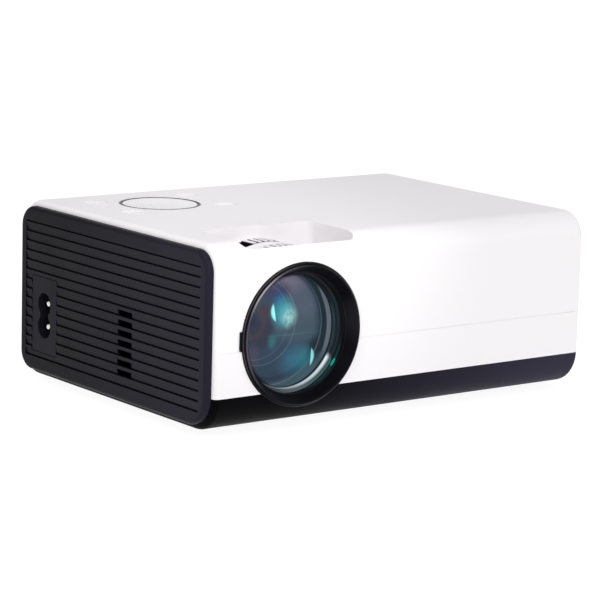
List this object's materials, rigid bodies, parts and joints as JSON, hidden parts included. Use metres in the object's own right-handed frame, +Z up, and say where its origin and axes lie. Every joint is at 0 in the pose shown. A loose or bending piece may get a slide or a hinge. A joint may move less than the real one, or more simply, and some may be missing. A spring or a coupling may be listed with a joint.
{
  "type": "projector",
  "caption": "Compact home projector: round lens with focus and keystone rings in a top recess, control disc and keys, ribbed side covers, mains inlet.",
  "frame": {"origin": "centre of the footprint, on the floor under the feet", "axes": "+X to the right seen from the front, -Y out of the lens, +Z up"},
  "size_m": [0.1704, 0.126, 0.0666],
  "materials": {
    "white_case": "satin",
    "black_base": "satin",
    "black_cover": "satin",
    "bezel_black": "satin",
    "inlet_black": "satin",
    "pin_metal": "bright",
    "coated_glass": "coated",
    "clear_glass": "clear",
    "barrel_black": "matt",
    "ring_plastic": "satin",
    "inner_plastic": "matt",
    "mirror_face": "polished",
    "fresnel_sheet": "ribbed",
    "lcd_sheet": "gloss",
    "led_ceramic": "satin",
    "sink_aluminium": "satin",
    "fan_black": "satin",
    "board_green": "lacquered",
    "board_parts": "satin",
    "socket_metal": "bright",
    "port_black": "satin",
    "ir_dark": "gloss",
    "speaker_black": "matt",
    "trim_grey": "satin",
    "disc_white": "satin",
    "key_white": "satin",
    "rocker_plastic": "matt",
    "foot_rubber": "matt",
    "foot_plastic": "satin",
    "insert_brass": "turned",
    "screw_steel": "dark plated"
  },
  "bodies": {
    "case": {"top_shell": "white_case", "lower_front_strip": "white_case", "lower_rear_strip": "white_case", "base_cover": "black_base", "left_side_cover": "black_cover", "right_side_cover": "black_cover", "lens_bezel": "bezel_black", "inlet_body": "inlet_black", "inlet_pins": "pin_metal", "condenser_lens": "clear_glass", "keystone_ring_clip": "barrel_black", "pivot_posts": "inner_plastic", "lens_mount": "inner_plastic", "engine_housing": "inner_plastic", "engine_lid": "inner_plastic", "fold_mirror": "mirror_face", "field_fresnel": "fresnel_sheet", "collimator_fresnel": "fresnel_sheet", "lcd_panel": "lcd_sheet", "led_module": "led_ceramic", "heatsink": "sink_aluminium", "exhaust_fan_frame": "fan_black", "panel_fan_frame": "fan_black", "main_board": "board_green", "power_board": "board_green", "led_driver_board": "board_green", "key_board": "board_green", "power_parts": "board_parts", "key_switches": "board_parts", "hdmi_socket": "socket_metal", "usb_socket": "socket_metal", "port_panel": "port_black", "audio_socket": "port_black", "ir_window": "ir_dark", "speaker": "speaker_black", "disc_trim_ring": "trim_grey", "rubber_feet": "foot_rubber", "tripod_insert": "insert_brass", "case_screws": "screw_steel"},
    "lens_tube": {"lens_barrel": "barrel_black", "lens_retaining_ring": "barrel_black", "front_lens": "coated_glass", "middle_lens": "clear_glass", "rear_lens": "clear_glass", "lens_spacers": "barrel_black"},
    "tilting_carrier": {"lens_carrier": "barrel_black", "focus_ring_clip": "barrel_black"},
    "focus_wheel": {"focus_ring": "ring_plastic"},
    "keystone_wheel": {"keystone_ring": "ring_plastic"},
    "exhaust_rotor": {"exhaust_fan_rotor": "fan_black"},
    "panel_rotor": {"panel_fan_rotor": "fan_black"},
    "plunger": {"disc_plunger": "rocker_plastic"},
    "rocker": {"rocker_cross": "rocker_plastic"},
    "disc": {"control_disc": "disc_white"},
    "power_button": {"power_key": "key_white"},
    "source_button": {"source_key": "key_white"},
    "menu_button": {"menu_key": "key_white"},
    "back_button": {"back_key": "key_white"},
    "foot_pad": {"screw_foot_pad": "foot_rubber"},
    "foot_screw": {"screw_foot": "foot_plastic"}
  },
  "joints": [
    {"name": "keystone_turn", "type": "hinge", "parent": "case", "child": "keystone_wheel", "pos_m": [-0.0468, -0.0362, 0.0332], "axis": [0, 1, 0], "range_deg": [-14, 14]},
    {"name": "lens_tilt", "type": "hinge", "parent": "case", "child": "tilting_carrier", "pos_m": [-0.0468, -0.0536, 0.0332], "axis": [1, 0, 0], "range_deg": [-1.2, 1.2]},
    {"name": "focus_turn", "type": "hinge", "parent": "tilting_carrier", "child": "focus_wheel", "pos_m": [-0.0468, -0.0479, 0.0332], "axis": [0, 1, 0], "range_deg": [-47.5, 81]},
    {"name": "focus_slide", "type": "slide", "parent": "tilting_carrier", "child": "lens_tube", "axis": [0, 1, 0], "range_m": [-0.0014, 0.0024]},
    {"name": "exhaust_spin", "type": "hinge", "parent": "case", "child": "exhaust_rotor", "pos_m": [0.075, 0.006, 0.0332], "axis": [1, 0, 0], "continuous": true},
    {"name": "panel_spin", "type": "hinge", "parent": "case", "child": "panel_rotor", "pos_m": [0.0019, -0.0322, 0.0332], "axis": [0, 1, 0], "continuous": true},
    {"name": "disc_press", "type": "slide", "parent": "case", "child": "plunger", "axis": [0, 0, -1], "range_m": [0, 0.0004], "stiffness_N_per_m": 600, "springref_m": -0.0005},
    {"name": "disc_rock_x", "type": "hinge", "parent": "plunger", "child": "rocker", "pos_m": [-0.0466, 0.0271, 0.06333], "axis": [1, 0, 0], "range_deg": [-1.2, 1.2], "stiffness_Nm_per_rad": 0.3},
    {"name": "disc_rock_y", "type": "hinge", "parent": "rocker", "child": "disc", "pos_m": [-0.0466, 0.0271, 0.06438], "axis": [0, 1, 0], "range_deg": [-1.2, 1.2], "stiffness_Nm_per_rad": 0.3},
    {"name": "power_press", "type": "slide", "parent": "case", "child": "power_button", "axis": [0, 0, -1], "range_m": [0, 0.00035], "stiffness_N_per_m": 800, "springref_m": -0.0005},
    {"name": "source_press", "type": "slide", "parent": "case", "child": "source_button", "axis": [0, 0, -1], "range_m": [0, 0.00035], "stiffness_N_per_m": 800, "springref_m": -0.0005},
    {"name": "menu_press", "type": "slide", "parent": "case", "child": "menu_button", "axis": [0, 0, -1], "range_m": [0, 0.00035], "stiffness_N_per_m": 800, "springref_m": -0.0005},
    {"name": "back_press", "type": "slide", "parent": "case", "child": "back_button", "axis": [0, 0, -1], "range_m": [0, 0.00035], "stiffness_N_per_m": 800, "springref_m": -0.0005},
    {"name": "foot_lift", "type": "slide", "parent": "case", "child": "foot_pad", "axis": [0, 0, -1], "range_m": [0, 0.008]},
    {"name": "foot_turn", "type": "hinge", "parent": "foot_pad", "child": "foot_screw", "pos_m": [0, -0.0426, 0.003], "axis": [0, 0, -1], "range_deg": [0, 1440]}
  ],
  "couplings": [
    {"joint": "lens_tilt", "follows": "keystone_turn", "ratio": 0.085},
    {"joint": "focus_turn", "follows": "focus_slide", "rad_per_m": 588.24},
    {"joint": "foot_turn", "follows": "foot_lift", "rad_per_m": 3141.6}
  ]
}
